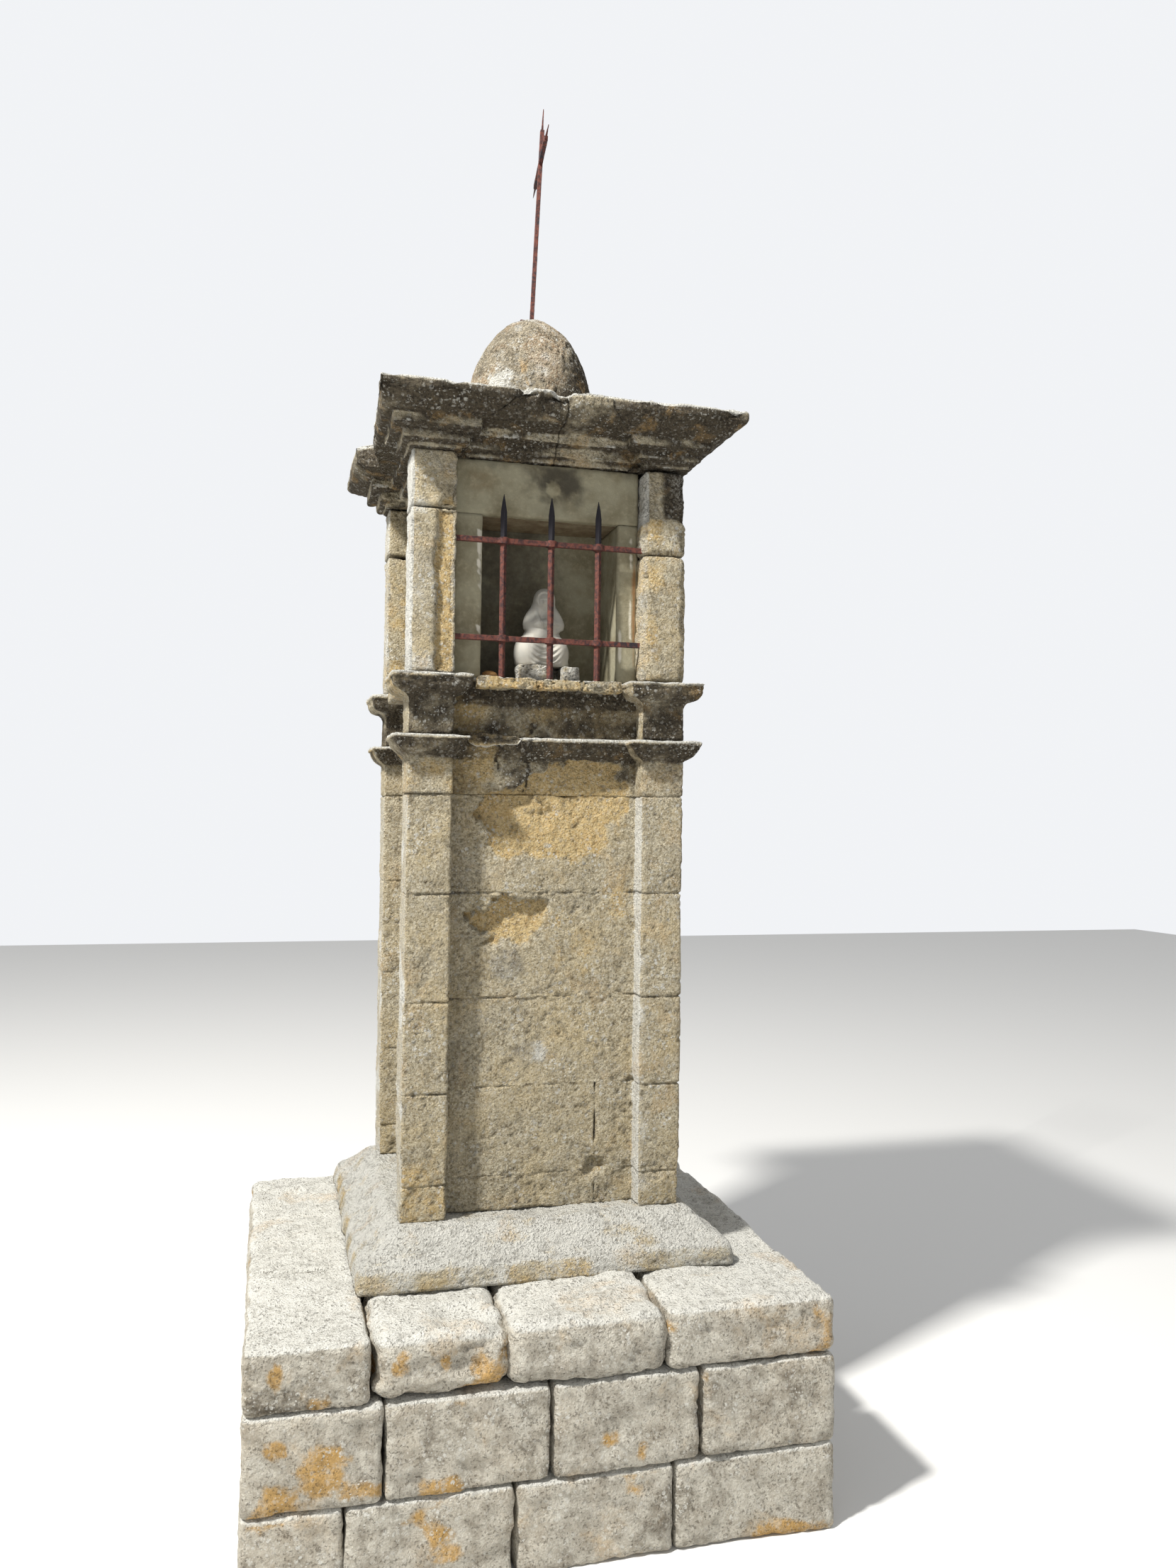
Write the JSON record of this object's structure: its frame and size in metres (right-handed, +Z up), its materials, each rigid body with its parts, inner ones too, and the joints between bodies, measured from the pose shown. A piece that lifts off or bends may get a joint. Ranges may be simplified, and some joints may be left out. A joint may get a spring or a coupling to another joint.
{
  "type": "wayside shrine",
  "caption": "Square stone pillar shrine on a stepped platform, with a barred niche, statuette, moulded cornice, domed top and iron cross.",
  "frame": {"origin": "on the pillar's upright axis, in the plane of the platform's underside", "axes": "+Z up, front with the niche towards -Y, +X to the right seen from the front"},
  "size_m": [1.495, 1.35, 4.1174],
  "materials": {
    "pillar_limestone": "coarse pitted limestone, ochre where worn, grey with lichen elsewhere",
    "platform_limestone": "worn pale limestone, grey violet on the upright faces, with orange lichen",
    "cornice_limestone": "limestone under a dark weather crust, white lichen along the top",
    "ochre_limestone": "rough yellow limestone",
    "niche_plaster": "smooth grey beige plaster over stone, stained",
    "white_plaster": "matt white cast plaster",
    "pebble_stone": "smooth rounded brown pebble",
    "wrought_iron": "forged iron, rusted red brown, black at the points"
  },
  "bodies": {
    "root": {"astragal_course": "pillar_limestone", "cornice_back_left": "cornice_limestone", "cornice_back_right": "cornice_limestone", "cornice_front_left": "cornice_limestone", "cornice_front_right": "cornice_limestone", "cross_arm": "wrought_iron", "cross_foot_plate": "wrought_iron", "cross_post": "wrought_iron", "die_course": "pillar_limestone", "dome_stone": "cornice_limestone", "grille_bars": "wrought_iron", "grille_rails": "wrought_iron", "niche_back": "niche_plaster", "niche_floor": "ochre_limestone", "niche_lintel": "niche_plaster", "niche_wall_left": "niche_plaster", "niche_wall_right": "niche_plaster", "pebble": "pebble_stone", "pier_back_left_lower": "pillar_limestone", "pier_back_left_upper": "pillar_limestone", "pier_back_right_lower": "pillar_limestone", "pier_back_right_upper": "pillar_limestone", "pier_front_left_lower": "pillar_limestone", "pier_front_left_upper": "pillar_limestone", "pier_front_right_lower": "pillar_limestone", "pier_front_right_upper": "pillar_limestone", "pillar_plinth": "pillar_limestone", "platform_back": "platform_limestone", "platform_core": "platform_limestone", "platform_corner_block": "platform_limestone", "platform_end_slab": "platform_limestone", "platform_footing": "platform_limestone", "platform_front_left": "platform_limestone", "platform_front_middle": "platform_limestone", "platform_middle_course": "platform_limestone", "platform_side_left": "platform_limestone", "platform_side_right": "platform_limestone", "shaft_course_1": "pillar_limestone", "shaft_course_2": "pillar_limestone", "shaft_course_3": "pillar_limestone", "shaft_course_4": "pillar_limestone", "shaft_course_5": "pillar_limestone", "sill_stones": "ochre_limestone", "statue_rests": "ochre_limestone", "statuette": "white_plaster"}
  },
  "joints": []
}
